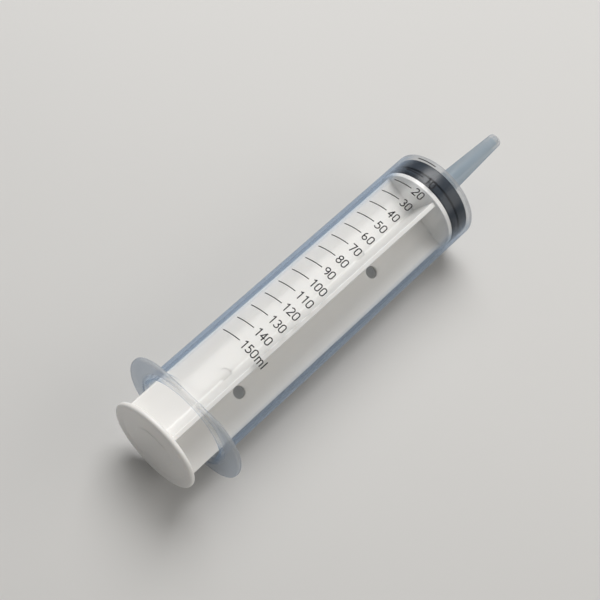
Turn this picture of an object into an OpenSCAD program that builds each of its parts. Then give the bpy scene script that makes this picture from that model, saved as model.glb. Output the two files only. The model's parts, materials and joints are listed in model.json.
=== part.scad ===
// Large catheter-tip syringe, 150 ml: a clear barrel with a finger flange and a long tapered nozzle,
// a cross-shaped plunger rod with a thumb rest, a rubber stopper and a printed scale.
// All lengths are in millimetres.
//
// The syringe is drawn along X with the outer face of the barrel's front wall at x = 0 and the
// nozzle pointing to +X and the middle of the scale on top. The module lay_down() then lays it on
// the table, where it rests on a flat of its flange and on the front edge of its barrel.
// Angles round the axis are counted from the middle of the scale, and grow from +Z towards -Y.

/* [Barrel] */
// Inside radius of the barrel's bore
bore_r = 20.0; // [10:0.1:24]
// Thickness of the barrel's tube
wall = 1.4; // [0.8:0.1:3]
// Length of the barrel from the rear face of its flange to its front face
barrel_len = 153.9; // [60:0.1:260]
// Thickness of the wall that closes the barrel's front
front_wall = 1.8; // [1.5:0.1:5]
// Rounding of the barrel's front edge
front_round = 0.5; // [0.2:0.1:1]
// Height of the stop bead inside the bore, near the flange
bead_h = 0.4; // [0.1:0.05:0.6]
// Distance from the rear face of the flange to the middle of the stop bead
bead_back = 5.0; // [4:0.5:20]

/* [Flange] */
// Radius of the round sides of the finger flange
flange_r = 30.4; // [26:0.1:40]
// Distance of the flange's two flats from the axis
flat_r = 22.4; // [22.3:0.1:25]
// Radius of the corners between the flats and the round sides
flange_corner = 18.0; // [10:0.5:18]
// Angle of the first flat
flat_turn = 7.9; // [0:0.1:90]
// Thickness of the flange
flange_t = 2.0; // [1.8:0.1:4]
// Radius of the collar round the rear mouth of the bore
collar_r = 22.2; // [21.8:0.1:22.2]
// Height of that collar over the rear face of the flange
collar_h = 1.0; // [0.5:0.1:3]

/* [Nozzle] */
// Length of the nozzle from the barrel's front face
nozzle_len = 43.4; // [10:0.1:60]
// Radius of the nozzle at its root
nozzle_root_r = 5.4; // [4:0.1:9]
// Radius of the nozzle at its tip, before rounding
nozzle_tip_r = 3.2; // [2.8:0.1:6]
// Radius of the channel through the nozzle
channel_r = 1.75; // [0.8:0.05:2]
// Rounding of the nozzle's tip
tip_round = 1.1; // [0.3:0.1:1.2]
// Fillet between the nozzle and the front face
nozzle_fillet = 1.5; // [0.5:0.1:3]

/* [Plunger rod] */
// Half width of the crossed fins
fin_r = 18.5; // [9:0.1:19]
// Thickness of the fins
fin_t = 2.1; // [1.5:0.1:4]
// Fillet in the four corners of the cross
fin_fillet = 1.0; // [0.3:0.1:2]
// Angle of the first fin
fin_angle = 30.8; // [0:0.1:90]
// Radius of the pusher disc behind the stopper
disc_r = 19.7; // [9:0.1:19.8]
// Thickness of the pusher disc
disc_t = 2.2; // [1:0.1:5]
// Radius of the thumb rest
thumb_r = 21.3; // [15:0.1:28]
// Thickness of the thumb rest
thumb_t = 2.5; // [2:0.1:5]
// Gap between the thumb rest and the flange when the plunger is fully in
thumb_gap = 14.2; // [8:0.1:30]
// Depth of the dish in the thumb rest
dish_depth = 0.5; // [0.2:0.1:1]
// Radius of the round ejector holes in one fin
hole_r = 2.75; // [1:0.05:4]
// Distance of those holes from the axis
hole_off = 6.7; // [5:0.1:12]

/* [Stopper] */
// Gap between the stopper and the front wall when the plunger is fully in
seat_gap = 0.15; // [0.1:0.05:0.5]
// Length of the stopper
stopper_len = 9.3; // [8:0.1:15]
// Running clearance of the stopper's sealing lands in the bore
seal_gap = 0.05; // [0.02:0.01:0.1]
// Width of the groove between the two sealing lands
groove_w = 1.0; // [0.5:0.1:2]
// Depth of that groove
groove_depth = 1.0; // [0.3:0.1:2]
// Radius of the rod's neck inside the stopper
neck_r = 10.0; // [5:0.1:12]
// Radius of the rod's head inside the stopper
head_r = 12.0; // [6:0.1:15]
// Gap between the stopper and the parts of the rod it holds
swivel_gap = 0.3; // [0.2:0.05:0.5]

/* [Scale] */
// Volume between two lines of the scale, in millilitres
step_ml = 10; // [5:5:10]
// Number of steps on the scale
steps = 15; // [5:1:15]
// Distance of the zero line from the barrel's front face
zero_back = 2.05; // [1:0.05:5]
// Width of a scale line
line_w = 0.38; // [0.2:0.02:0.6]
// Angle at which the lines start
line_start = -27.2; // [-60:0.1:0]
// Angle over which a line runs
line_sweep = 25.3; // [10:0.1:60]
// Angle of the first character of a label
label_start = 5.0; // [0:0.1:20]
// Height of the characters
char_h = 4.1; // [2:0.1:5]
// Width of a digit
char_w = 2.3; // [1:0.1:3]
// Width of a character's strokes
stroke = 0.46; // [0.2:0.02:0.5]
// Distance between the middles of two digits, along the surface
char_pitch = 2.75; // [2.6:0.05:4]
// Height of the ink over the barrel
ink_h = 0.03; // [0.02:0.01:0.1]

/* [Hidden] */
$fn = 96;
eps = 0.01;
barrel_r = bore_r + wall;
flange_back = -barrel_len;
flange_front = flange_back + flange_t;
bead_x = flange_back + bead_back;
// Radius of the round that the stop bead is cut from
bead_ball = 1.2;
// Lead-in at the rear mouth of the bore: how much wider it is there, and how long
collar_back = flange_back - collar_h;
lead_in = 1.0;
lead_in_len = 3.0;
// Round of the thumb rest's edge, and the ring of the dish where its slope ends
thumb_round = 0.48 * thumb_t;
dish_r = thumb_r - 2.2;
dish_lip = 0.4;
dish_hub_r = 9.3;
dish_step = 1.4;
hub_h = 0.25;
// Stations of the plunger along the axis when it is fully in
stopper_front = -front_wall - seat_gap;
stopper_back = stopper_front - stopper_len;
disc_front = stopper_back - swivel_gap;
disc_back = disc_front - disc_t;
thumb_front = flange_back - thumb_gap;
thumb_back = thumb_front - thumb_t;
seal_r = bore_r - seal_gap;
// Length of the stopper's front sealing land, and the bevel at its front
front_land = 5.2;
stopper_bevel = 0.4;
groove_front = stopper_front - front_land;
head_t = 2.7;
neck_len = 3.0;
hole_x = [-128.7, -48.2];
// The ejector dents beside the root of the opposite fin
dent_depth = 0.3;
dent_off = 2.4;
// One scale step along the axis, from the volume and the bore (1 ml = 1000 mm3)
step_len = step_ml * 1000 / (PI * bore_r * bore_r);
ink_root = 0.1;
// Angle between two digits of a number
pitch_angle = char_pitch / barrel_r * 180 / PI;
// Centre of the flange's corners, and the angle from the flat's middle where a round side starts
corner_z = flat_r - flange_corner;
corner_y = sqrt(pow(flange_r - flange_corner, 2) - pow(corner_z, 2));
corner_turn = atan2(corner_y, corner_z);
// Points of the flange's outline on each corner and on half of each round side
corner_steps = 10;
side_steps = 4;
// The syringe rests on a flat of the flange and on the rounded front edge of the barrel: the dip
// is that of the line from the flat's front edge that touches the round from below
rest_span = -flange_front - front_round;
rest_drop = flat_r - (barrel_r - front_round);
rest_dip = atan(rest_drop / rest_span) - asin(front_round / norm([rest_span, rest_drop]));
rest_height = flat_r * cos(rest_dip) + flange_front * sin(rest_dip);
// Middle of the resting syringe along X, between the thumb rest's edge and the nozzle's tip
back_end = (thumb_back + thumb_round) * cos(rest_dip) - (thumb_r - thumb_round) * sin(rest_dip) - thumb_round;
front_end = (nozzle_len - tip_round) * cos(rest_dip) + (nozzle_tip_r - tip_round) * sin(rest_dip) + tip_round;
rest_middle = (back_end + front_end) / 2;

// Lays the children, drawn along X, on the table with the origin under the middle
module lay_down() {
    translate([-rest_middle, 0, rest_height])
        rotate([0, rest_dip, 0])
            rotate([-flat_turn, 0, 0])
                children();
}

// Radius of the nozzle's cone at x along the axis
function nozzle_r(x) = nozzle_root_r + (nozzle_tip_r - nozzle_root_r) * x / (nozzle_len - tip_round);

// Turns a profile about the syringe's axis: x of the profile is the radius, y is the place on the axis
module turned() {
    rotate([0, 90, 0])
        rotate_extrude()
            children();
}

// A rectangle of the profile, from radius r0 to r1 and from x0 to x1 along the axis
module band(r0, r1, x0, x1) {
    translate([r0, x0])
        square([r1 - r0, x1 - x0]);
}

// Material that fills an inside corner of a profile with a fillet of radius f
module corner_fill(r, x, f, side) {
    difference() {
        translate([r, side > 0 ? x : x - f])
            square([f, f]);
        translate([r + f, x + side * f])
            circle(f);
    }
}

// ---- barrel ----

module tube_profile() {
    band(0, barrel_r, flange_back, -front_round);
    band(0, barrel_r - front_round, -front_round - eps, 0);
    translate([barrel_r - front_round, -front_round])
        circle(front_round);
    band(0, collar_r, collar_back, flange_front - flange_t / 2);
}

// What the bore takes away, with the lead-in at its rear mouth and the small bead that stops the
// pusher disc left standing
module bore_profile() {
    difference() {
        union() {
            band(0, bore_r, collar_back - 1, -front_wall);
            polygon([
                [0, collar_back - 1],
                [bore_r + lead_in, collar_back - 1],
                [bore_r + lead_in, collar_back],
                [bore_r, collar_back + lead_in_len],
                [0, collar_back + lead_in_len]
            ]);
        }
        translate([bore_r + bead_ball - bead_h, bead_x])
            circle(bead_ball);
    }
}

// A quarter of the flange's outline, from a flat to the middle of a round side
quarter = concat(
    [for (i = [0 : corner_steps])
        let (turn = corner_turn * i / corner_steps)
            [corner_y + flange_corner * sin(turn), corner_z + flange_corner * cos(turn)]],
    [for (i = [1 : side_steps])
        let (turn = corner_turn + (90 - corner_turn) * i / side_steps)
            flange_r * [sin(turn), cos(turn)]]
);
function backwards(points) = [for (i = [len(points) - 1 : -1 : 0]) points[i]];
function flipped(points, y, z) = [for (point = points) [y * point[0], z * point[1]]];

// The finger flange: a disc with two flats and well rounded corners
module flange() {
    outline = concat(
        quarter,
        backwards(flipped(quarter, 1, -1)),
        flipped(quarter, -1, -1),
        backwards(flipped(quarter, -1, 1))
    );
    rotate([flat_turn, 0, 0])
        translate([flange_back, 0, 0])
            rotate([90, 0, 90])
                linear_extrude(flange_t)
                    polygon(outline);
}

module nozzle_profile() {
    polygon([
        [0, -front_wall],
        [nozzle_root_r, -front_wall],
        [nozzle_root_r, 0],
        [nozzle_tip_r, nozzle_len - tip_round],
        [0, nozzle_len - tip_round]
    ]);
    band(0, nozzle_tip_r - tip_round, nozzle_len - tip_round - eps, nozzle_len);
    translate([nozzle_tip_r - tip_round, nozzle_len - tip_round])
        circle(tip_round);
    corner_fill(nozzle_r(nozzle_fillet) - eps, 0, nozzle_fillet, 1);
}

module barrel() {
    color([0.80, 0.87, 0.92, 0.45])
        lay_down()
            difference() {
                union() {
                    turned() {
                        tube_profile();
                        nozzle_profile();
                    }
                    flange();
                }
                turned() {
                    bore_profile();
                    band(0, channel_r, -front_wall - 1, nozzle_len + 1);
                }
            }
}

// ---- plunger rod ----

// One fin pair of the cross, seen along the axis, with small rounds on its edges
module fin_pair() {
    edge = 0.4;
    square([2 * fin_r, fin_t - 2 * edge], center = true);
    square([2 * (fin_r - edge), fin_t], center = true);
    for (side_x = [-1, 1], side_y = [-1, 1])
        translate([side_x * (fin_r - edge), side_y * (fin_t / 2 - edge)])
            circle(edge);
}

module cross_section() {
    fin_pair();
    rotate([0, 0, 90])
        fin_pair();
    // fillets in the four corners of the cross
    difference() {
        square(fin_t + 2 * fin_fillet, center = true);
        for (side_x = [-1, 1], side_y = [-1, 1])
            translate([side_x, side_y] * (fin_t / 2 + fin_fillet))
                circle(fin_fillet);
    }
}

// The cross runs from the thumb rest to the pusher disc, with its first fin along local +Z
module fins() {
    difference() {
        translate([thumb_front - eps, 0, 0])
            rotate([90, 0, 90])
                linear_extrude(disc_back - thumb_front + 2 * eps)
                    cross_section();
        for (x = hole_x) {
            translate([x, -hole_off, -fin_t])
                cylinder(r = hole_r, h = 2 * fin_t);
            translate([x, dent_off, fin_t / 2 - dent_depth])
                cylinder(r = hole_r, h = fin_t);
        }
    }
}

module thumb_rest_profile() {
    difference() {
        union() {
            band(0, thumb_r - thumb_round, thumb_back, thumb_front);
            translate([thumb_r - thumb_round, thumb_back + thumb_round])
                circle(thumb_round);
            translate([thumb_r - thumb_round, thumb_front - thumb_round])
                circle(thumb_round);
        }
        // the dish, with a low hub in its middle
        polygon([
            [0, thumb_back - 1],
            [dish_r + dish_lip, thumb_back - 1],
            [dish_r, thumb_back],
            [dish_r - dish_step, thumb_back + dish_depth],
            [dish_hub_r + dish_step, thumb_back + dish_depth],
            [dish_hub_r, thumb_back + dish_depth - hub_h],
            [0, thumb_back + dish_depth - hub_h]
        ]);
    }
}

module head_profile() {
    band(0, disc_r, disc_back, disc_front);
    band(0, neck_r, disc_front - eps, disc_front + neck_len);
    band(0, head_r, disc_front + neck_len - eps, disc_front + neck_len + head_t);
}

module plunger_rod() {
    color([0.93, 0.93, 0.92])
        lay_down() {
            turned()
                thumb_rest_profile();
            turned()
                head_profile();
            rotate([fin_angle, 0, 0])
                fins();
        }
}

// ---- stopper ----

module stopper() {
    pocket_front = disc_front + neck_len + head_t + swivel_gap;
    pocket_back = disc_front + neck_len - swivel_gap;
    color([0.13, 0.15, 0.19])
        lay_down()
            turned()
                difference() {
                    union() {
                        band(0, seal_r, stopper_back, stopper_front - stopper_bevel);
                        polygon([
                            [0, stopper_front - stopper_bevel - eps],
                            [seal_r, stopper_front - stopper_bevel - eps],
                            [seal_r - stopper_bevel, stopper_front],
                            [0, stopper_front]
                        ]);
                    }
                    translate([seal_r - groove_depth + groove_w / 2, groove_front - groove_w / 2])
                        circle(groove_w / 2);
                    band(seal_r - groove_depth + groove_w / 2, seal_r + 1, groove_front - groove_w, groove_front);
                    band(0, neck_r + swivel_gap, stopper_back - 1, pocket_back + eps);
                    band(0, head_r + swivel_gap, pocket_back, pocket_front);
                }
}

// ---- scale ----

// Place of the scale line number n along the axis
function line_x(n) = -zero_back - n * step_len;

module scale_lines() {
    color([0.22, 0.22, 0.24])
        lay_down()
            for (n = [0 : steps])
                translate([line_x(n) - line_w / 2, 0, 0])
                    rotate([line_start, 0, 0])
                        rotate([0, 90, 0])
                            rotate([0, 0, 180])
                                rotate_extrude(angle = line_sweep)
                                    translate([barrel_r - ink_root, 0])
                                        square([ink_root + ink_h, line_w]);
}

// A bar of the characters from one point to another, one stroke wide
module bar(from, to) {
    run = to - from;
    translate(from)
        rotate([0, 0, atan2(run[1], run[0])])
            translate([0, -stroke / 2])
                square([norm(run), stroke]);
}

// A ring one stroke wide, cut to the pie slice between two angles (up to half a turn)
module arc(centre, r, from, to) {
    reach = 3 * r;
    mid = (from + to) / 2;
    translate(centre)
        intersection() {
            difference() {
                circle(r + stroke / 2);
                circle(r - stroke / 2);
            }
            polygon([
                [0, 0],
                reach * [cos(from), sin(from)],
                reach * [cos((from + mid) / 2), sin((from + mid) / 2)],
                reach * [cos(mid), sin(mid)],
                reach * [cos((mid + to) / 2), sin((mid + to) / 2)],
                reach * [cos(to), sin(to)]
            ]);
        }
}

// The digits 0 to 9 in a box char_w wide and char_h high, centred on the origin
module digit(d) {
    w = (char_w - stroke) / 2;
    h = (char_h - stroke) / 2;
    if (d == 0) {
        arc([0, h - w], w, 0, 180);
        arc([0, w - h], w, 180, 360);
        bar([-w, w - h - eps], [-w, h - w + eps]);
        bar([w, w - h - eps], [w, h - w + eps]);
    }
    if (d == 1) {
        bar([w / 3, -h - stroke / 2], [w / 3, h + stroke / 2]);
        bar([w / 3, h], [-w * 0.7, h - w * 0.6]);
    }
    if (d == 2) {
        arc([0, h - w], w, -30, 150);
        bar([w * cos(30), h - w - w * sin(30)], [-w, -h]);
        bar([-w - stroke / 2, -h], [w + stroke / 2, -h]);
    }
    if (d == 3) {
        upper = h * 0.47;
        lower = h - upper;
        arc([0, h - upper], upper, -90, 90);
        arc([0, h - upper], upper, 90, 150);
        arc([0, lower - h], lower, -90, 90);
        arc([0, lower - h], lower, 210, 270);
    }
    if (d == 4) {
        bar([w * 0.5, -h - stroke / 2], [w * 0.5, h + stroke / 2]);
        bar([w * 0.5, h], [-w, -h * 0.35]);
        bar([-w - stroke / 2, -h * 0.35], [w + stroke / 2, -h * 0.35]);
    }
    if (d == 5) {
        arc([-w * 0.1, h * -0.38], h * 0.62, -90, 90);
        arc([-w * 0.1, h * -0.38], h * 0.62, 90, 130);
        arc([-w * 0.1, h * -0.38], h * 0.62, 215, 270);
        bar([-w * 0.7, h * 0.05], [-w * 0.6, h]);
        bar([-w * 0.6 - stroke / 2, h], [w * 0.9, h]);
    }
    if (d == 6 || d == 9)
        rotate([0, 0, d == 9 ? 180 : 0]) {
            arc([0, w - h], w, 0, 180);
            arc([0, w - h], w, 180, 360);
            bar([-w, w - h], [-w, h * 0.2]);
            arc([-w + 1.6 * w, h * 0.2], 1.6 * w, 118, 180);
        }
    if (d == 7) {
        bar([-w - stroke / 2, h], [w + stroke / 2, h]);
        bar([w, h], [-w * 0.3, -h - stroke / 2]);
    }
    if (d == 8) {
        upper = h * 0.46;
        lower = h - upper;
        for (from = [0, 180]) {
            arc([0, h - upper], upper, from, from + 180);
            arc([0, lower - h], lower, from, from + 180);
        }
    }
}

// The letters m and l of the unit, on the same baseline as the digits
module letter_m() {
    w = char_w * 0.3;
    h = (char_h - stroke) / 2;
    x_height = char_h * 0.68;
    for (x = [-2 * w, 0, 2 * w])
        bar([x, -h - stroke / 2], [x, -h + x_height - w]);
    bar([-2 * w, -h], [-2 * w, -h + x_height]);
    for (x = [-w, w])
        arc([x, -h + x_height - w - stroke / 2], w, 0, 180);
}

module letter_l() {
    h = (char_h - stroke) / 2;
    bar([0, -h - stroke / 2], [0, h + stroke / 2]);
}

// Lays a flat character on the barrel at x along the axis and at an angle round it
module printed(x, angle) {
    rotate([angle, 0, 0])
        translate([x, 0, barrel_r - ink_root])
            rotate([0, 0, -90])
                linear_extrude(ink_root + ink_h)
                    children();
}

// A number, starting at the label's first place
module number(value, x) {
    digits = value >= 100
        ? [floor(value / 100), floor(value / 10) % 10, value % 10]
        : [floor(value / 10) % 10, value % 10];
    for (i = [0 : len(digits) - 1])
        printed(x, label_start + i * pitch_angle)
            digit(digits[i]);
}

module scale_numerals() {
    color([0.22, 0.22, 0.24])
        lay_down() {
            for (n = [1 : steps])
                number(n * step_ml, line_x(n));
            printed(line_x(steps), label_start + 3.25 * pitch_angle)
                letter_m();
            printed(line_x(steps), label_start + 4.2 * pitch_angle)
                letter_l();
        }
}

barrel();
plunger_rod();
stopper();
scale_lines();
scale_numerals();
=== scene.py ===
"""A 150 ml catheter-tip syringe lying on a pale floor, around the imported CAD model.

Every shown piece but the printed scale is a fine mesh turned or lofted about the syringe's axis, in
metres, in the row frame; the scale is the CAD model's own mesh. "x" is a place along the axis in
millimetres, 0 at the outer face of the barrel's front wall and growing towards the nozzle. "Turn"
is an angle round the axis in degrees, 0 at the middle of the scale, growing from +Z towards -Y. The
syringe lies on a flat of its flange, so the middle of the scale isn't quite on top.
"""

import json
import math

import bmesh
import bpy
from mathutils import Matrix, Vector


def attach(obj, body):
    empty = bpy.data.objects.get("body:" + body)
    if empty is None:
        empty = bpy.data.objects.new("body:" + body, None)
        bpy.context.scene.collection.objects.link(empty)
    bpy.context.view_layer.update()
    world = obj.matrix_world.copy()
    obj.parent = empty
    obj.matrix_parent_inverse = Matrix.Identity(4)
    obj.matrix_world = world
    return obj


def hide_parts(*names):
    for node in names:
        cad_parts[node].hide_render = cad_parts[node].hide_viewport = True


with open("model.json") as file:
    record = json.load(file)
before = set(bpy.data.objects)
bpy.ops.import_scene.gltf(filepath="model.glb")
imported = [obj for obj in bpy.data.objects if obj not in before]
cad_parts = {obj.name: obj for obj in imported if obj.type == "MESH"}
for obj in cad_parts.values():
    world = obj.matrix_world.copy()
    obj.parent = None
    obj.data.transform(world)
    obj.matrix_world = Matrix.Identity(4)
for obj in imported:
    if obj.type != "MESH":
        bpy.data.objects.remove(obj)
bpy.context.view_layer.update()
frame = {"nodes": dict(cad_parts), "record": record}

# ---- sizes from the frame, in millimetres ----

MM = 0.001
mounts = {mount["name"]: mount for mount in frame["record"]["mounts"]}
tube_mount = mounts["barrel_tube"]
channel_mount = mounts["nozzle_channel"]
AXIS = Vector(channel_mount["axis"]).normalized()
BARREL_R = tube_mount["dims"]["r_mm"]
CHANNEL_R = channel_mount["dims"]["r_mm"]

# ---- driving dimensions of the syringe, in millimetres ----

WALL = 1.4
BORE_R = BARREL_R - WALL
FRONT_WALL = 1.8
FLANGE_BACK = -153.9
FLANGE_T = 2.0
FLANGE_R = 30.4
FLANGE_ROUND = 0.8
FLAT_R = 22.4
FLAT_TURN = 7.9
CORNER_R = 18.0
COLLAR_R = 22.2
COLLAR_H = 1.0
NOZZLE_LEN = channel_mount["dims"]["length_mm"] - FRONT_WALL
NOZZLE_ROOT_R = 5.4
NOZZLE_TIP_R = 3.2
TIP_ROUND = 1.1
NOZZLE_FILLET = 1.5

FIN_R = 18.5
FIN_T = 2.1
FIN_TURN = 30.8
DISC_R = 19.7
DISC_T = 2.2
THUMB_R = 21.3
THUMB_T = 2.5
THUMB_GAP = 14.2

STOPPER_LEN = 9.3
FRONT_LAND = 5.2
SEAT_GAP = 0.15
SEAL_GAP = 0.05
SWIVEL_GAP = 0.3
NECK_R = 10.0
NECK_LEN = 3.0
HEAD_R = 12.0
HEAD_T = 2.7

STOPPER_FRONT = -FRONT_WALL - SEAT_GAP
STOPPER_BACK = STOPPER_FRONT - STOPPER_LEN
DISC_FRONT = STOPPER_BACK - SWIVEL_GAP
DISC_BACK = DISC_FRONT - DISC_T
THUMB_FRONT = FLANGE_BACK - THUMB_GAP
THUMB_BACK = THUMB_FRONT - THUMB_T

# The channel's middle is halfway between the inner face of the front wall and the nozzle's tip
channel_middle = (NOZZLE_LEN - FRONT_WALL) / 2
ORIGIN = Vector(channel_mount["pos_m"]) - AXIS * channel_middle * MM
ACROSS = Vector((0, 1, 0)).cross(AXIS).normalized() * -1
# The turns at which every round ring has its points
SEGMENTS = 160
TURNS = [360 * i / SEGMENTS for i in range(SEGMENTS)]


def place(x, radius, turn):
    """The point at x along the axis, at a radius and at a turn from the middle of the scale."""
    angle = math.radians(turn - FLAT_TURN)
    out = ACROSS * math.cos(angle) + Vector((0, -1, 0)) * math.sin(angle)
    return ORIGIN + AXIS * x * MM + out * radius * MM


# ---- profiles: lists of (x, radius) ----


def arc(x, radius, r, start, end, steps=8):
    """Points of a round about (x, radius); an angle of 0 is along +x, and one of 90 outwards."""
    points = []
    for i in range(steps + 1):
        angle = math.radians(start + (end - start) * i / steps)
        points.append((x + r * math.cos(angle), radius + r * math.sin(angle)))
    return points


def run(x0, r0, x1, r1, steps):
    """Points inside a straight stretch, without its two ends."""
    return [
        (x0 + (x1 - x0) * i / steps, r0 + (r1 - r0) * i / steps) for i in range(1, steps)
    ]


def clamped(t):
    """A value kept between 0 and 1."""
    return max(0.0, min(1.0, t))


def nozzle_r(x):
    """Radius of the nozzle's cone at x."""
    return NOZZLE_ROOT_R + (NOZZLE_TIP_R - NOZZLE_ROOT_R) * x / (NOZZLE_LEN - TIP_ROUND)


# ---- mesh code ----


def new_object(name, mesh, body, node, paint):
    """A shown piece that stands for a CAD node and rides on its body."""
    piece = bpy.data.objects.new(name, mesh)
    bpy.context.scene.collection.objects.link(piece)
    mesh.materials.clear()
    mesh.materials.append(paint)
    for face in mesh.polygons:
        face.use_smooth = True
        face.material_index = 0
    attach(piece, body)
    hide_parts(node)
    return piece


def even_normals(piece):
    """Flat faces shade flat, and the rounds between them smoothly."""
    weigh = piece.modifiers.new("even_normals", "WEIGHTED_NORMAL")
    weigh.mode = "FACE_AREA"
    weigh.weight = 50


def finished(bm, name):
    """The mesh of a closed skin, with its faces all looking outwards."""
    bmesh.ops.recalc_face_normals(bm, faces=bm.faces)
    mesh = bpy.data.meshes.new(name)
    bm.to_mesh(mesh)
    bm.free()
    return mesh


def bridge(bm, low, high):
    """Quads between two rings of equal size."""
    for i in range(len(low)):
        j = (i + 1) % len(low)
        bm.faces.new((low[i], low[j], high[j], high[i]))


def turned(name, rings):
    """A closed skin through rings of (x, radius at every turn); the last one joins the first."""
    bm = bmesh.new()
    loops = []
    for x, radii in rings:
        loops.append([bm.verts.new(place(x, radius, turn)) for radius, turn in zip(radii, TURNS)])
    for k, loop in enumerate(loops):
        bridge(bm, loop, loops[(k + 1) % len(loops)])
    return finished(bm, name)


def round_rings(profile):
    """Rings for a profile of (x, radius) that is the same all the way round."""
    return [(x, [radius] * SEGMENTS) for x, radius in profile]


# ---- barrel ----

FLANGE_FRONT = FLANGE_BACK + FLANGE_T
FLANGE_FOOT = 0.1
FRONT_EDGE = 0.5
WALL_LINE = 0.05
COLLAR_EDGE = 0.4
REAR_LIP = 0.25
# The lead-in of the bore: how far in from its mouth, and how much wider than the bore
LEAD_IN = [(1.2, 0.45), (2.2, 0.12), (3.2, 0.0)]
LEAD_WIDTH = 1.15
BEAD_BACK = 5.0
BEAD_H = 0.4
BEAD_STEP = 0.16
BEAD_REACH = 1.2
BORE_CORNER = 0.8
CHANNEL_EDGE = 0.3
MOUTH_EDGE = 0.35
LEAST_WING = 0.03

# How milky each part of the barrel looks, from 0 to 1, and the painted shade in the nozzle's mouth
NOZZLE_MILK = 0.5
ROOT_MILK = 0.25
# Painted shade: the channel's inside, over the last MOUTH_LEN of the nozzle, gets a high milk
# value, which makes it dark and nearly opaque as the shade inside the channel's mouth
MOUTH_LEN = 1.4
MOUTH_R = CHANNEL_R + 0.1
MOUTH_SHADE_MILK = 0.8
TIP_MILK = 0.25
WALL_MILK = 0.4
FLANGE_MILK = 0.4
MILK_RISE = 1.5


def bore_points():
    """From the mouth of the bore to the inner face of the front wall."""
    mouth = FLANGE_BACK - COLLAR_H
    wall = -FRONT_WALL
    corner = BORE_R - BORE_CORNER
    points = arc(mouth + REAR_LIP, BORE_R + LEAD_WIDTH, REAR_LIP, 180, 250, 5)
    points += [(mouth + inwards, BORE_R + rise) for inwards, rise in LEAD_IN]
    bead = FLANGE_BACK + BEAD_BACK
    for i in range(-6, 7):
        dip = BEAD_H / 2 * (1 + math.cos(math.pi * i / 6))
        points.append((bead + i * BEAD_STEP, BORE_R - dip))
    points += run(bead + BEAD_REACH, BORE_R, wall - BORE_CORNER, BORE_R, 40)
    points += arc(wall - BORE_CORNER, corner, BORE_CORNER, 90, 0, 6)
    points += run(wall, corner, wall, CHANNEL_R + CHANNEL_EDGE, 8)
    return points


def nozzle_points():
    """The channel, the tip and the cone, back to the front face."""
    inlet = -FRONT_WALL + CHANNEL_EDGE
    outlet = NOZZLE_LEN - MOUTH_EDGE
    points = arc(inlet, CHANNEL_R + CHANNEL_EDGE, CHANNEL_EDGE, 180, 270, 4)
    points += run(inlet, CHANNEL_R, outlet, CHANNEL_R, 16)
    points += arc(outlet, CHANNEL_R + MOUTH_EDGE, MOUTH_EDGE, 270, 360, 4)
    tip = arc(NOZZLE_LEN - TIP_ROUND, NOZZLE_TIP_R - TIP_ROUND, TIP_ROUND, 0, 87, 9)
    points += [(x, r) for x, r in tip if r > CHANNEL_R + MOUTH_EDGE + 0.01]
    root = nozzle_r(NOZZLE_FILLET)
    points += run(NOZZLE_LEN - TIP_ROUND, NOZZLE_TIP_R, NOZZLE_FILLET, root, 16)
    points += arc(NOZZLE_FILLET, root + NOZZLE_FILLET, NOZZLE_FILLET, 270, 180, 7)
    points += run(0, root + NOZZLE_FILLET, 0, BARREL_R - FRONT_EDGE, 8)
    return points


def tube_points():
    """The outside of the tube, from its front edge to the flange."""
    wall = -FRONT_WALL
    foot = FLANGE_FRONT + FLANGE_FOOT
    points = arc(-FRONT_EDGE, BARREL_R - FRONT_EDGE, FRONT_EDGE, 0, 90, 6)
    points += run(-FRONT_EDGE, BARREL_R, wall, BARREL_R, 3)
    points += [(wall, BARREL_R), (wall - WALL_LINE, BARREL_R)]
    points += run(wall - WALL_LINE, BARREL_R, foot, BARREL_R, 40)
    points += arc(foot, BARREL_R + FLANGE_FOOT, FLANGE_FOOT, 270, 180, 3)
    return points


def wing_points():
    """The flange's faces and rounded edge: (x, foot, share of the way out, inset at the edge)."""
    front_foot = BARREL_R + FLANGE_FOOT
    points = [(FLANGE_FRONT, front_foot, i / 6, FLANGE_ROUND) for i in range(1, 6)]
    for x, rise in arc(FLANGE_FRONT - FLANGE_ROUND, 0, FLANGE_ROUND, 0, 90, 6):
        points.append((x, front_foot, 1, FLANGE_ROUND - rise))
    for x, rise in arc(FLANGE_BACK + FLANGE_ROUND, 0, FLANGE_ROUND, 90, 180, 6):
        points.append((x, COLLAR_R, 1, FLANGE_ROUND - rise))
    points += [(FLANGE_BACK, COLLAR_R, i / 6, FLANGE_ROUND) for i in range(5, 0, -1)]
    return points


def collar_points():
    """The collar round the mouth of the bore."""
    top = FLANGE_BACK - COLLAR_H + COLLAR_EDGE
    edge = arc(top, COLLAR_R - COLLAR_EDGE, COLLAR_EDGE, 90, 180, 5)
    return [(FLANGE_BACK, COLLAR_R)] + edge


def wing_r(turn):
    """Distance of the flange's edge from the axis: a disc with two flats and rounded corners."""
    corner_z = FLAT_R - CORNER_R
    corner_y = math.sqrt((FLANGE_R - CORNER_R) ** 2 - corner_z ** 2)
    across = abs(math.sin(math.radians(turn - FLAT_TURN)))
    up = abs(math.cos(math.radians(turn - FLAT_TURN)))
    if across * corner_z >= up * corner_y:
        return FLANGE_R
    if across * FLAT_R <= up * corner_y:
        return FLAT_R / up
    along = across * corner_y + up * corner_z
    return along + math.sqrt(along ** 2 - corner_y ** 2 - corner_z ** 2 + CORNER_R ** 2)


def wing_radii(foot, share, inset):
    """A ring on the flange, between its foot and its edge."""
    return [foot + max(wing_r(turn) - inset - foot, LEAST_WING) * share for turn in TURNS]


def barrel_rings():
    """Rings of the whole barrel: (x, radius at every turn)."""
    rings = round_rings(bore_points() + nozzle_points() + tube_points())
    rings += [(x, wing_radii(foot, share, inset)) for x, foot, share, inset in wing_points()]
    rings += round_rings(collar_points())
    return rings


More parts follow.
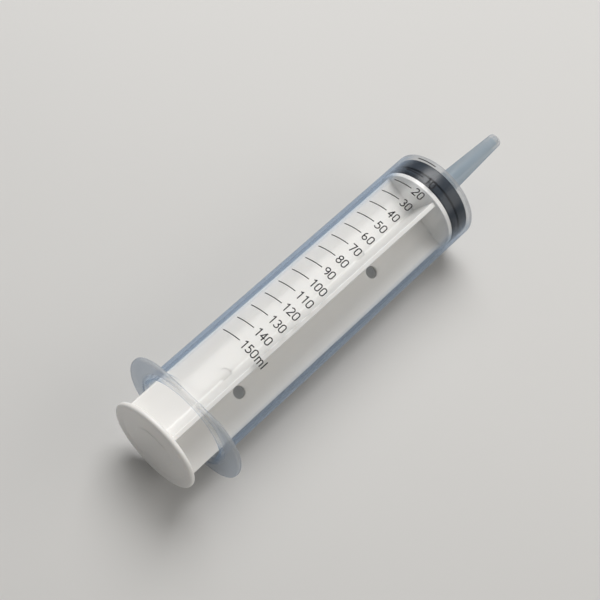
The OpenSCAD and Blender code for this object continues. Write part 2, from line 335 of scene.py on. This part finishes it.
def haze_and_shade(x, radius):
    """How milky the plastic looks: most where it is thick, least on the tube. Inside the channel's
    mouth it is high as painted shade, dark and nearly opaque.
    """
    if x > NOZZLE_LEN - MOUTH_LEN:
        # Inside the channel's mouth the high value is painted shade; outside it is the tip's own
        # milk
        return MOUTH_SHADE_MILK if radius < MOUTH_R else TIP_MILK
    if x > 0 and radius < NOZZLE_ROOT_R + NOZZLE_FILLET:
        return NOZZLE_MILK + ROOT_MILK * (1 - x / NOZZLE_LEN)
    if x > -FRONT_WALL - WALL_LINE / 2:
        return WALL_MILK
    return FLANGE_MILK * clamped((radius - BARREL_R) / MILK_RISE)


def make_barrel():
    """The clear barrel, which carries how milky it is at every point, and the painted shade in the
    nozzle's mouth.
    """
    rings = barrel_rings()
    mesh = turned("barrel_shell", rings)
    milk = mesh.attributes.new("milk", "FLOAT", "POINT")
    milk.data.foreach_set("value", [haze_and_shade(x, radius) for x, radii in rings for radius in radii])
    new_object("barrel_shell", mesh, "barrel", "barrel", clear_plastic())


# ---- plunger rod ----

FIN_EDGE = 0.4
FIN_FILLET = 1.0
DISC_FILLET = 0.5
THUMB_FILLET = 0.8
THUMB_ROUND = 1.2
DISC_ROUND = 0.3
HEAD_ROUND = 0.3
DISH_DEPTH = 0.5
DISH_R = 16.9
DISH_EDGE = 2.2
HUB_H = 0.35
HUB_R = 9.3
HUB_EDGE = 0.8
GATE_H = 0.12
GATE_R = 0.25
GATE_EDGE = 0.3
# Radii of the rings on the thumb rest's rear face, closest together on the edges of hub and dish
DISH_RADII = [0.15, 0.3, 0.45, 0.7, 2.0, 4.0, 6.0, 8.0]
DISH_RADII += [9.0, 9.25, 9.45, 9.65, 9.85, 10.1, 10.4, 11.5]
DISH_RADII += [13.0, 15.0, 16.5, 17.0, 17.5, 18.0, 18.5, 19.0, 19.3]
SHANK_STEPS = 24
# Where the flat faces of thumb rest and disc start, in from the rounds of their rims
THUMB_INSET = 0.3
DISC_INSET = 0.05
# The foot of the neck: how far from the disc, and how much wider than the neck
NECK_FOOT = [(0.0, 0.4), (0.1, 0.12), (0.4, 0.0)]
# Shares of a fin's side where its outline has points, closest together at its ends
SIDE_SHARES = (0.03, 0.2, 0.4, 0.6, 0.8, 0.97)


def half_quadrant(grow):
    """The fins' outline from the middle of a tip to the middle of the next inside corner."""
    half = FIN_T / 2 + grow
    reach = FIN_R + grow
    edge = FIN_EDGE + grow
    fillet = FIN_FILLET - grow
    points = [(reach, 0.0), (reach, (half - edge) * 0.6)]
    for i in range(5):
        angle = math.radians(90 * i / 4)
        points.append((reach - edge + edge * math.cos(angle), half - edge + edge * math.sin(angle)))
    side_start = reach - edge
    side_end = half + fillet
    for share in SIDE_SHARES:
        points.append((side_start + (side_end - side_start) * share, half))
    for i in range(4):
        angle = math.radians(270 - 45 * i / 3)
        corner = half + fillet
        points.append((corner + fillet * math.cos(angle), corner + fillet * math.sin(angle)))
    return points


def cross_ring(grow):
    """The whole outline of the crossed fins, moved outwards by grow."""
    first = half_quadrant(grow)
    second = [(b, a) for a, b in reversed(first)][1:-1]
    ring = []
    for quarter in range(4):
        turn = math.radians(90 * quarter)
        along = math.cos(turn)
        over = math.sin(turn)
        ring += [(a * along - b * over, a * over + b * along) for a, b in first + second]
    return ring


RING_SIZE = len(cross_ring(0))


def round_ring(radius):
    """A circle with as many points as the fins' outline."""
    turns = [2 * math.pi * i / RING_SIZE for i in range(RING_SIZE)]
    return [(radius * math.cos(turn), radius * math.sin(turn)) for turn in turns]


def mixed_ring(inner, outer, share):
    """A ring part of the way from an inner one to an outer one."""
    return [
        (a0 + (a1 - a0) * share, b0 + (b1 - b0) * share)
        for (a0, b0), (a1, b1) in zip(inner, outer)
    ]


def fade(radius, start, width):
    """1 inside the start radius, then smoothly down to 0 over a width."""
    t = clamped((radius - start) / width)
    return 1 - t * t * (3 - 2 * t)


def dish(radius):
    """Depth of the thumb rest's rear face: a shallow dish, with a low hub and the gate's mark."""
    depth = DISH_DEPTH * fade(radius, DISH_R, DISH_EDGE)
    hub = HUB_H * fade(radius, HUB_R, HUB_EDGE)
    gate = GATE_H * fade(radius, GATE_R, GATE_EDGE)
    return depth - hub - gate


def rod_rings():
    """Rings (x, outline) of the rod, from the thumb rest's rear face to the head in the stopper."""
    flat = THUMB_R - THUMB_ROUND
    thumb = [(THUMB_BACK + dish(radius), radius) for radius in DISH_RADII]
    thumb += arc(THUMB_BACK + THUMB_ROUND, flat, THUMB_ROUND, 180, 90, 7)
    thumb += arc(THUMB_FRONT - THUMB_ROUND, flat, THUMB_ROUND, 90, 0, 7)
    rim = DISC_R - DISC_ROUND
    disc = arc(DISC_BACK + DISC_ROUND, rim, DISC_ROUND, 180, 90, 4)
    disc += arc(DISC_FRONT - DISC_ROUND, rim, DISC_ROUND, 90, 0, 4)
    neck_end = DISC_FRONT + NECK_LEN
    head_end = neck_end + HEAD_T
    neck = [(DISC_FRONT + rise, NECK_R + extra) for rise, extra in NECK_FOOT]
    neck += [(neck_end, NECK_R)]
    head = [(neck_end, HEAD_R - HEAD_ROUND), (neck_end + HEAD_ROUND, HEAD_R)]
    head += [(head_end - HEAD_ROUND, HEAD_R), (head_end, HEAD_R - HEAD_ROUND)]
    head += [(head_end, HEAD_R / 2), (head_end, 1.0)]
    rings = [(x, round_ring(radius)) for x, radius in thumb]
    rings += into_cross(THUMB_FRONT, flat - THUMB_INSET, THUMB_FILLET, 1)
    start = THUMB_FRONT + THUMB_FILLET
    end = DISC_BACK - DISC_FILLET
    for i in range(1, SHANK_STEPS):
        rings.append((start + (end - start) * i / SHANK_STEPS, cross_ring(0)))
    rings += reversed(into_cross(DISC_BACK, rim - DISC_INSET, DISC_FILLET, -1))
    rings += [(x, round_ring(radius)) for x, radius in disc + neck + head]
    return rings


def into_cross(face, radius, fillet, way):
    """Rings that take a disc's flat face into the fins, with a fillet round their foot."""
    foot = cross_ring(fillet)
    edge = round_ring(radius)
    rings = [(face, mixed_ring(foot, edge, share)) for share in (1.0, 0.66, 0.33, 0.06)]
    for i in range(6):
        angle = math.radians(90 * i / 5)
        rise = fillet * (1 - math.cos(angle))
        rings.append((face + way * rise, cross_ring(fillet * (1 - math.sin(angle)))))
    return rings


def rod_point(x, a, b):
    """The point at x along the axis, and at (a, b) in the two directions of the fins."""
    radius = math.hypot(a, b)
    return place(x, radius, FIN_TURN + math.degrees(math.atan2(b, a)))


def loft(name, rings):
    """Closed mesh through rings of equal size, with a point in the middle of each end."""
    bm = bmesh.new()
    loops = [[bm.verts.new(rod_point(x, a, b)) for a, b in ring] for x, ring in rings]
    for low, high in zip(loops, loops[1:]):
        bridge(bm, low, high)
    for loop, x in ((loops[0], rings[0][0]), (loops[-1], rings[-1][0])):
        middle = bm.verts.new(place(x, 0, 0))
        for i in range(RING_SIZE):
            bm.faces.new((loop[i], loop[(i + 1) % RING_SIZE], middle))
    return finished(bm, name)


HOLE_R = 2.75
HOLE_OFF = 6.7
HOLE_X = (-128.7, -48.2)
DENT_OFF = 2.4
DENT_DEPTH = 0.3
PEG_SIDES = 48


def peg(name, x, across, low, high, radius):
    """A round peg square to the side fins, to cut their ejector marks with."""
    circle = arc(x, across, radius, 0, 360, PEG_SIDES)[:-1]
    bm = bmesh.new()
    ends = []
    for level in (low, high):
        ends.append([bm.verts.new(rod_point(px, level, py)) for px, py in circle])
    bridge(bm, *ends)
    for end in ends:
        bm.faces.new(end)
    cutter = bpy.data.objects.new(name, finished(bm, name))
    bpy.context.scene.collection.objects.link(cutter)
    return cutter


def cut(mesh, cutters):
    """The mesh with the cutters taken away, which are then deleted."""
    block = bpy.data.objects.new("uncut", mesh)
    bpy.context.scene.collection.objects.link(block)
    for cutter in cutters:
        knife = block.modifiers.new("cut", "BOOLEAN")
        knife.operation = "DIFFERENCE"
        knife.solver = "EXACT"
        knife.object = cutter
    graph = bpy.context.evaluated_depsgraph_get()
    result = bpy.data.meshes.new_from_object(block.evaluated_get(graph))
    for extra in [block, *cutters]:
        bpy.data.objects.remove(extra)
    return result


def make_rod():
    """The plunger rod in one piece, with its ejector marks cut out."""
    mesh = loft("plunger", rod_rings())
    pegs = []
    for x in HOLE_X:
        pegs.append(peg("hole_peg", x, HOLE_OFF, -FIN_T, FIN_T, HOLE_R))
        pegs.append(peg("dent_peg", x, -DENT_OFF, FIN_T / 2 - DENT_DEPTH, FIN_T, HOLE_R))
    mesh = cut(mesh, pegs)
    paint = white_plastic()
    piece = new_object(
        "plunger_moulding", mesh, "plunger_rod", "plunger_rod", paint
    )
    even_normals(piece)


# ---- stopper ----

GROOVE_W = 1.0
LAND_ROUND = 0.25
END_ROUND = 0.4
POCKET_EDGE = 0.2
NECK_EDGE = 0.3
# The front wall is turned round a pinhole on the axis, and has one ring between it and the lands
PINHOLE_R = 0.3
FRONT_RING_R = 4.0
FRONT_FLAT = 1.0


def stopper_profile():
    """The stopper's section: the pocket for the rod's head, the front and the sealing lands."""
    seal = BORE_R - SEAL_GAP
    groove_front = STOPPER_FRONT - FRONT_LAND
    groove_back = groove_front - GROOVE_W
    groove_r = seal - GROOVE_W / 2
    front = STOPPER_FRONT - END_ROUND
    back = STOPPER_BACK + END_ROUND
    pocket_back = DISC_FRONT + NECK_LEN - SWIVEL_GAP
    pocket_front = DISC_FRONT + NECK_LEN + HEAD_T + SWIVEL_GAP
    neck = NECK_R + SWIVEL_GAP
    head = HEAD_R + SWIVEL_GAP
    points = [(STOPPER_BACK, neck + NECK_EDGE), (STOPPER_BACK + NECK_EDGE, neck)]
    points += [(pocket_back - POCKET_EDGE, neck), (pocket_back, neck + POCKET_EDGE)]
    points += [(pocket_back, head - POCKET_EDGE), (pocket_back + POCKET_EDGE, head)]
    points += [(pocket_front - POCKET_EDGE, head), (pocket_front, head - POCKET_EDGE)]
    points += [(pocket_front, FRONT_RING_R), (pocket_front, PINHOLE_R)]
    points += [(STOPPER_FRONT, PINHOLE_R), (STOPPER_FRONT, FRONT_RING_R)]
    points += run(STOPPER_FRONT, FRONT_RING_R, STOPPER_FRONT, seal - FRONT_FLAT, 5)
    points += arc(front, seal - END_ROUND, END_ROUND, 0, 90, 5)
    points += arc(groove_front + LAND_ROUND, seal - LAND_ROUND, LAND_ROUND, 90, 180, 4)
    points += arc(groove_front - GROOVE_W / 2, groove_r, GROOVE_W / 2, 0, -180, 9)
    points += arc(groove_back - LAND_ROUND, seal - LAND_ROUND, LAND_ROUND, 0, 90, 4)
    points += run(groove_back - LAND_ROUND, seal, back, seal, 3)
    points += arc(back, seal - END_ROUND, END_ROUND, 90, 180, 5)
    points += run(STOPPER_BACK, seal - END_ROUND, STOPPER_BACK, neck + NECK_EDGE, 4)
    return points


def make_stopper():
    """The rubber stopper."""
    mesh = turned("stopper_rubber", round_rings(stopper_profile()))
    new_object("stopper_rubber", mesh, "stopper", "stopper", rubber())


# ---- materials ----

# Colour of the milky veil, from the thin tube to the thick flange and nozzle; the last and darkest
# colour is also the painted shade in the nozzle's mouth
VEIL_AND_SHADE_COLOURS = [
    (0.0, (0.42, 0.55, 0.72)),
    (0.25, (0.58, 0.6, 0.62)),
    (0.4, (0.58, 0.6, 0.62)),
    (0.5, (0.36, 0.43, 0.49)),
]
# Share of the veil that glows through, its strength from face-on to edge-on, and where it starts
VEIL_GLOW = 0.4
VEIL_THIN = (0.01, 0.4)
VEIL_FACING = (0.5, 0.9)
# Gloss of the clear plastic, from face-on to edge-on, and how late it rises
GLOSS = (0.014, 0.6)
GLOSS_POWER = 5.0
GLOSS_ROUGHNESS = (0.16, 0.26)
SHADE_TINT = (0.98, 0.98, 0.985, 1)
# Tint of what is seen through the plastic, from face-on to edge-on
EDGE_TINTS = [
    (0.0, (0.99, 0.99, 0.985)),
    (0.5, (0.97, 0.975, 0.98)),
    (0.75, (0.6, 0.68, 0.78)),
    (1.0, (0.34, 0.44, 0.56)),
]


def material(name):
    """An empty node material, and what is needed to fill it."""
    mat = bpy.data.materials.new(name)
    mat.use_nodes = True
    nodes = mat.node_tree.nodes
    nodes.clear()
    out = nodes.new("ShaderNodeOutputMaterial")
    return mat, nodes, mat.node_tree.links, out


def noise(nodes, links, scale, detail):
    """Noise in the object's own coordinates."""
    where = nodes.new("ShaderNodeTexCoord")
    grain = nodes.new("ShaderNodeTexNoise")
    grain.inputs["Scale"].default_value = scale
    grain.inputs["Detail"].default_value = detail
    links.new(where.outputs["Object"], grain.inputs["Vector"])
    return grain


def spread(nodes, links, source, low, high, from_low=0.0, from_high=1.0):
    """A value moved from one range to another."""
    node = nodes.new("ShaderNodeMapRange")
    node.inputs["From Min"].default_value = from_low
    node.inputs["From Max"].default_value = from_high
    node.inputs["To Min"].default_value = low
    node.inputs["To Max"].default_value = high
    links.new(source, node.inputs["Value"])
    return node.outputs["Result"]


def bump(nodes, links, height, strength, distance):
    """A fine unevenness of the surface."""
    node = nodes.new("ShaderNodeBump")
    node.inputs["Strength"].default_value = strength
    node.inputs["Distance"].default_value = distance
    links.new(height, node.inputs["Height"])
    return node.outputs["Normal"]


def ramp(nodes, links, source, stops):
    """A colour ramp with stops of (position, colour)."""
    node = nodes.new("ShaderNodeValToRGB")
    elements = node.color_ramp.elements
    while len(elements) < len(stops):
        elements.new(0.5)
    for element, (position, colour) in zip(elements, stops):
        element.position = position
        element.color = (*colour, 1)
    links.new(source, node.inputs["Fac"])
    return node.outputs["Color"]


def mottled(nodes, links, source, low, high):
    """Two close colours, mixed by a noise."""
    return ramp(nodes, links, source, [(0.3, low), (0.7, high)])


def mixed(nodes, links, first, second):
    """A mix of two shaders; its factor is set by the caller."""
    node = nodes.new("ShaderNodeMixShader")
    links.new(first, node.inputs[1])
    links.new(second, node.inputs[2])
    return node


def math_node(nodes, links, operation, source):
    """A maths node with its first input joined."""
    node = nodes.new("ShaderNodeMath")
    node.operation = operation
    links.new(source, node.inputs[0])
    return node


def clear_plastic():
    """Clear polypropylene: see-through, milky where it is thick, blue-grey edge-on, and glossy;
    dark and nearly opaque in the nozzle's mouth as painted shade.
    """
    mat, nodes, links, out = material("clear_plastic")
    facing = nodes.new("ShaderNodeLayerWeight")
    facing.inputs["Blend"].default_value = 0.5
    edge = facing.outputs["Facing"]
    milk = nodes.new("ShaderNodeAttribute")
    milk.attribute_name = "milk"
    tint = ramp(nodes, links, edge, EDGE_TINTS)
    through = nodes.new("ShaderNodeBsdfTransparent")
    links.new(tint, through.inputs["Color"])
    skin = nodes.new("ShaderNodeBsdfDiffuse")
    glow = nodes.new("ShaderNodeBsdfTranslucent")
    # Milk of 0.5 and more takes the last, darkest colour: the nozzle's own, and the painted shade
    # in its mouth
    veil_and_shade_colour = ramp(nodes, links, milk.outputs["Fac"], VEIL_AND_SHADE_COLOURS)
    links.new(veil_and_shade_colour, skin.inputs["Color"])
    links.new(veil_and_shade_colour, glow.inputs["Color"])
    veil = mixed(nodes, links, skin.outputs["BSDF"], glow.outputs["BSDF"])
    veil.inputs["Fac"].default_value = VEIL_GLOW
    thin = spread(nodes, links, edge, *VEIL_THIN, *VEIL_FACING)
    # The veil's share: milky edges, milky thick parts, and the painted shade of the nozzle's mouth
    thick = math_node(nodes, links, "MAXIMUM", thin)
    links.new(milk.outputs["Fac"], thick.inputs[1])
    body = mixed(nodes, links, through.outputs["BSDF"], veil.outputs["Shader"])
    links.new(thick.outputs["Value"], body.inputs["Fac"])
    gloss = nodes.new("ShaderNodeBsdfGlossy")
    gloss.inputs["Color"].default_value = (1, 1, 1, 1)
    grain = noise(nodes, links, 300, 3)
    roughness = spread(nodes, links, grain.outputs["Fac"], *GLOSS_ROUGHNESS)
    links.new(roughness, gloss.inputs["Roughness"])
    steep = math_node(nodes, links, "POWER", edge)
    steep.inputs[1].default_value = GLOSS_POWER
    mirror = spread(nodes, links, steep.outputs["Value"], *GLOSS)
    surface = mixed(nodes, links, body.outputs["Shader"], gloss.outputs["BSDF"])
    links.new(mirror, surface.inputs["Fac"])
    # Light reaches the plunger through the wall almost unchanged
    clear = nodes.new("ShaderNodeBsdfTransparent")
    clear.inputs["Color"].default_value = SHADE_TINT
    path = nodes.new("ShaderNodeLightPath")
    whole = mixed(nodes, links, surface.outputs["Shader"], clear.outputs["BSDF"])
    links.new(path.outputs["Is Shadow Ray"], whole.inputs["Fac"])
    links.new(whole.outputs["Shader"], out.inputs["Surface"])
    return mat


def white_plastic():
    """White moulded polypropylene, satin, with the faint grain of the mould."""
    mat, nodes, links, out = material("white_plastic")
    cloud = noise(nodes, links, 45, 2)
    grain = noise(nodes, links, 2600, 2)
    skin = nodes.new("ShaderNodeBsdfPrincipled")
    fac = cloud.outputs["Fac"]
    colour = mottled(nodes, links, fac, (0.85, 0.845, 0.83), (0.88, 0.875, 0.86))
    links.new(colour, skin.inputs["Base Color"])
    links.new(spread(nodes, links, fac, 0.32, 0.44), skin.inputs["Roughness"])
    links.new(bump(nodes, links, grain.outputs["Fac"], 0.15, 0.00002), skin.inputs["Normal"])
    skin.inputs["Subsurface Weight"].default_value = 0.15
    skin.inputs["Subsurface Radius"].default_value = (1.0, 0.9, 0.8)
    skin.inputs["Subsurface Scale"].default_value = 0.0015
    links.new(skin.outputs["BSDF"], out.inputs["Surface"])
    return mat


def rubber():
    """Dark smooth rubber."""
    mat, nodes, links, out = material("rubber")
    grain = noise(nodes, links, 1500, 3)
    skin = nodes.new("ShaderNodeBsdfPrincipled")
    fac = grain.outputs["Fac"]
    colour = mottled(nodes, links, fac, (0.016, 0.024, 0.036), (0.024, 0.034, 0.05))
    links.new(colour, skin.inputs["Base Color"])
    skin.inputs["Specular IOR Level"].default_value = 0.3
    links.new(spread(nodes, links, fac, 0.35, 0.5), skin.inputs["Roughness"])
    links.new(bump(nodes, links, fac, 0.2, 0.00003), skin.inputs["Normal"])
    links.new(skin.outputs["BSDF"], out.inputs["Surface"])
    return mat


def ink():
    """Thin dark ink, without a gloss."""
    mat, nodes, links, out = material("ink")
    patch = noise(nodes, links, 900, 3)
    skin = nodes.new("ShaderNodeBsdfPrincipled")
    fac = patch.outputs["Fac"]
    colour = mottled(nodes, links, fac, (0.018, 0.018, 0.02), (0.03, 0.03, 0.033))
    links.new(colour, skin.inputs["Base Color"])
    skin.inputs["Roughness"].default_value = 0.85
    skin.inputs["Specular IOR Level"].default_value = 0.08
    links.new(skin.outputs["BSDF"], out.inputs["Surface"])
    return mat


def floor_paint():
    """A plain pale matt floor."""
    mat, nodes, links, out = material("floor_paint")
    patch = noise(nodes, links, 3, 2)
    skin = nodes.new("ShaderNodeBsdfPrincipled")
    fac = patch.outputs["Fac"]
    colour = mottled(nodes, links, fac, (0.63, 0.63, 0.625), (0.65, 0.65, 0.645))
    links.new(colour, skin.inputs["Base Color"])
    skin.inputs["Roughness"].default_value = 0.8
    links.new(skin.outputs["BSDF"], out.inputs["Surface"])
    return mat


def paint_scale(name):
    """The printed scale is the CAD model's own mesh, with ink on it."""
    node = frame["nodes"][name]
    if not node.data.materials:
        node.data.materials.append(None)
    paint = ink()
    for paint_slot in node.material_slots:
        paint_slot.link = "OBJECT"
        paint_slot.material = paint


make_barrel()
make_rod()
make_stopper()
paint_scale("scale_lines")
paint_scale("scale_numerals")

# ---- floor, light and camera, in metres ----

FLOOR_HALF = 3.0
TARGET = Vector((0, 0, 0.02))
# The camera, in the syringe's own coordinates: along the axis, across it, and towards the scale
EYE = (-0.325945, -0.194144, 0.500018)
LOOKED_AT = (-0.068440, 0.015107, -0.025517)
UPRIGHT = (-0.06047, 0, 0.99817)


def add_floor():
    """The plain floor that the syringe lies on."""
    half = FLOOR_HALF
    bm = bmesh.new()
    corners = [(-half, -half, 0), (half, -half, 0), (half, half, 0), (-half, half, 0)]
    bm.faces.new([bm.verts.new(corner) for corner in corners])
    mesh = bpy.data.meshes.new("floor")
    bm.to_mesh(mesh)
    bm.free()
    floor = bpy.data.objects.new("floor", mesh)
    floor.data.materials.append(floor_paint())
    bpy.context.scene.collection.objects.link(floor)


def add_soft_box(name, direction, distance, size, radiance, colour):
    """A rectangular lamp in a direction from the syringe; its strength doesn't hang on its size."""
    where = TARGET + Vector(direction).normalized() * distance
    data = bpy.data.lights.new(name, "AREA")
    data.shape = "RECTANGLE"
    data.size, data.size_y = size
    data.energy = radiance * math.pi * size[0] * size[1]
    data.color = colour
    lamp = bpy.data.objects.new(name, data)
    lamp.location = where
    lamp.rotation_mode = "QUATERNION"
    lamp.rotation_quaternion = (TARGET - where).to_track_quat("-Z", "Y")
    bpy.context.scene.collection.objects.link(lamp)


def add_world():
    """Weak even light from all round, and a pale backdrop behind the floor's far edge."""
    world = bpy.data.worlds.new("studio")
    bpy.context.scene.world = world
    world.use_nodes = True
    nodes = world.node_tree.nodes
    links = world.node_tree.links
    light = nodes["Background"]
    light.inputs["Color"].default_value = (1.0, 0.98, 0.95, 1)
    light.inputs["Strength"].default_value = 0.2
    backdrop = nodes.new("ShaderNodeBackground")
    backdrop.inputs["Color"].default_value = (0.62, 0.62, 0.61, 1)
    path = nodes.new("ShaderNodeLightPath")
    shown = mixed(nodes, links, light.outputs["Background"], backdrop.outputs["Background"])
    links.new(path.outputs["Is Camera Ray"], shown.inputs["Fac"])
    links.new(shown.outputs["Shader"], nodes["World Output"].inputs["Surface"])


def in_syringe(x, across, up):
    """A point, in metres, given along the axis, across it and up from the scale's middle."""
    side = Vector((0, 1, 0))
    turn = math.radians(FLAT_TURN)
    tilted_side = side * math.cos(turn) - ACROSS * math.sin(turn)
    tilted_up = ACROSS * math.cos(turn) + side * math.sin(turn)
    return ORIGIN + AXIS * x + tilted_side * across + tilted_up * up


def add_camera():
    """The camera, placed in the syringe's own coordinates."""
    data = bpy.data.cameras.new("camera")
    data.lens = 85.34
    data.sensor_width = 36.0
    data.clip_start = 0.01
    data.clip_end = 20.0
    camera = bpy.data.objects.new("camera", data)
    eye = in_syringe(*EYE)
    looked_at = in_syringe(*LOOKED_AT)
    upright = in_syringe(*UPRIGHT) - ORIGIN
    forward = (looked_at - eye).normalized()
    right = forward.cross(upright).normalized()
    up = right.cross(forward)
    camera.matrix_world = Matrix(
        (
            (right.x, up.x, -forward.x, eye.x),
            (right.y, up.y, -forward.y, eye.y),
            (right.z, up.z, -forward.z, eye.z),
            (0, 0, 0, 1),
        )
    )
    bpy.context.scene.collection.objects.link(camera)
    bpy.context.scene.camera = camera


add_floor()
add_world()
add_soft_box(
    "key",
    direction=(0.36, 0.4, 0.84),
    distance=1.1,
    size=(0.8, 0.8),
    radiance=5.5,
    colour=(1.0, 0.985, 0.965),
)
add_soft_box(
    "fill",
    direction=(0.43, -0.73, 0.54),
    distance=1.0,
    size=(1.2, 0.6),
    radiance=1.3,
    colour=(1.0, 0.96, 0.9),
)
add_camera()
bpy.context.scene.view_settings.view_transform = "Standard"
bpy.context.scene.cycles.transparent_max_bounces = 24
